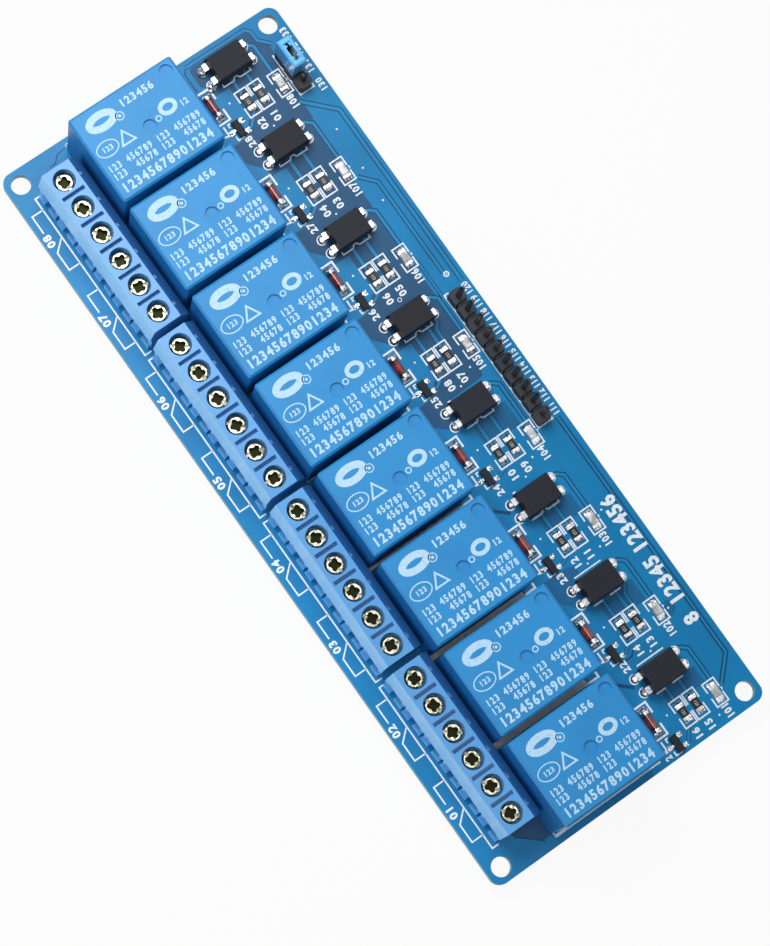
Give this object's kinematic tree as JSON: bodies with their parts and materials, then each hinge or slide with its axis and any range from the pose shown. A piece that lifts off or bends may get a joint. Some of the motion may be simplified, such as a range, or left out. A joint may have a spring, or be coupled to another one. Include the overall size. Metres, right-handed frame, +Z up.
{
  "type": "relay module board",
  "caption": "Flat circuit board with a row of sealed relays, screw terminals along one long edge, and optocoupler driver circuits and pin headers along the other.",
  "frame": {"origin": "centre of the pattern of four mounting holes, on the underside of the board", "axes": "+X along the long side of the board, parallel to the row of relays, from the power header's end; +Y across the board from the screw terminals to the pin headers; +Z up out of the component side"},
  "size_m": [0.135, 0.0524, 0.0187],
  "materials": {
    "board": "glossy blue solder mask over glass laminate",
    "relay_case": "satin moulded plastic",
    "terminal_housing": "satin moulded plastic",
    "black_epoxy": "matt moulded epoxy",
    "header_black": "satin moulded plastic",
    "header_pin": "plated",
    "jumper_blue": "glossy moulded plastic",
    "tinned_metal": "tin plated",
    "screw_steel": "zinc plated",
    "solder": "bright solder",
    "red_glass": "clear coloured glass",
    "resistor_black": "satin ceramic overglaze",
    "lamp_white": "matt ceramic",
    "lamp_lens": "clear resin"
  },
  "bodies": {
    "root": {"circuit_board": "board", "relay_8": "relay_case", "relay_7": "relay_case", "relay_6": "relay_case", "relay_5": "relay_case", "relay_4": "relay_case", "relay_3": "relay_case", "relay_2": "relay_case", "relay_1": "relay_case", "relay_pins": "tinned_metal", "terminal_block_1": "terminal_housing", "terminal_block_2": "terminal_housing", "terminal_block_3": "terminal_housing", "terminal_block_4": "terminal_housing", "terminal_screws": "screw_steel", "terminal_cages": "tinned_metal", "terminal_contacts": "tinned_metal", "optocoupler_8": "black_epoxy", "optocoupler_7": "black_epoxy", "optocoupler_6": "black_epoxy", "optocoupler_5": "black_epoxy", "optocoupler_4": "black_epoxy", "optocoupler_3": "black_epoxy", "optocoupler_2": "black_epoxy", "optocoupler_1": "black_epoxy", "optocoupler_leads": "tinned_metal", "transistor_bodies": "black_epoxy", "transistor_leads": "tinned_metal", "diode_glass": "red_glass", "diode_caps": "tinned_metal", "resistor_bodies": "resistor_black", "resistor_caps": "tinned_metal", "lamp_bases": "lamp_white", "lamp_lenses": "lamp_lens", "lamp_caps": "tinned_metal", "input_header_base": "header_black", "input_header_pins": "header_pin", "power_header_base": "header_black", "power_header_pins": "header_pin", "jumper_cap": "jumper_blue", "jumper_clip": "tinned_metal", "chip_solder": "solder", "relay_solder": "solder", "terminal_solder": "solder", "header_solder": "solder", "optocoupler_solder": "solder"}
  },
  "joints": []
}
